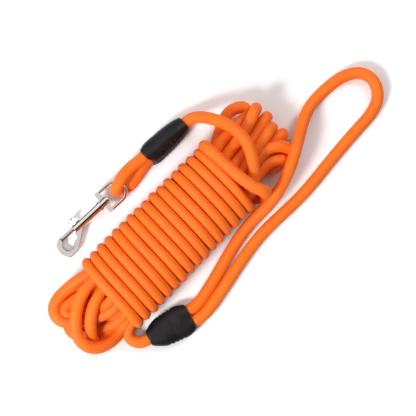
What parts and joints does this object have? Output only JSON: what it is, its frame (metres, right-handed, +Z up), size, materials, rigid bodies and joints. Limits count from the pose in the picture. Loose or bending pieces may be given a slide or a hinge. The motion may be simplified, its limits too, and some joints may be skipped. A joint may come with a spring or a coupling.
{
  "type": "training leash",
  "caption": "Long round-rope training leash wound into a hank, with a hand loop, leather-sleeved splices and a swivel bolt snap.",
  "frame": {"origin": "centre of the bounding box on the plane that the leash lies on", "axes": "+Z up, out of the surface that the leash lies on; +X to the right and +Y away, so that the hank's axis runs at 45 degrees between them and the snap is on the -X side"},
  "size_m": [0.2754, 0.2369, 0.0435],
  "materials": {
    "rope": "braided polypropylene rope, slightly shiny",
    "leather": "smooth black leather with a soft sheen",
    "thread": "waxed black thread",
    "snap_metal": "bright nickel plating",
    "bolt_metal": "bright nickel plating",
    "spring_steel": "plain spring wire"
  },
  "bodies": {
    "root": {"clip_lead": "rope", "clip_loop": "rope", "clip_sleeve_back": "leather", "clip_sleeve_front": "leather", "clip_splice": "rope", "clip_stitches": "thread", "clip_whipping": "thread", "handle_lead": "rope", "handle_loop": "rope", "handle_sleeve_back": "leather", "handle_sleeve_front": "leather", "handle_splice": "rope", "handle_stitches": "thread", "handle_whipping": "thread", "hank_core": "rope", "hank_wraps": "rope", "lower_bights": "rope", "upper_bights": "rope"},
    "ring": {"swivel_ring": "snap_metal"},
    "snap": {"snap_body": "snap_metal", "swivel_pin": "snap_metal", "swivel_washer": "snap_metal", "bolt_spring": "spring_steel"},
    "bolt": {"snap_bolt": "bolt_metal", "thumb_knob": "bolt_metal"}
  },
  "joints": [
    {"name": "ring_lift", "type": "hinge", "parent": "root", "child": "ring", "pos_m": [-0.07715, 0.02166, 0.01264], "axis": [-0.6782, 0.7349, 0], "range_deg": [0, 45]},
    {"name": "snap_swivel", "type": "hinge", "parent": "ring", "child": "snap", "pos_m": [-0.0925, 0.0075, 0.01], "axis": [-0.7291, -0.6728, -0.1253], "continuous": true},
    {"name": "bolt_slide", "type": "slide", "parent": "snap", "child": "bolt", "axis": [0.7291, 0.6728, 0.1253], "range_m": [0, 0.0115], "stiffness_N_per_m": 250, "springref_m": -0.006, "deforming": ["bolt_spring"]}
  ]
}
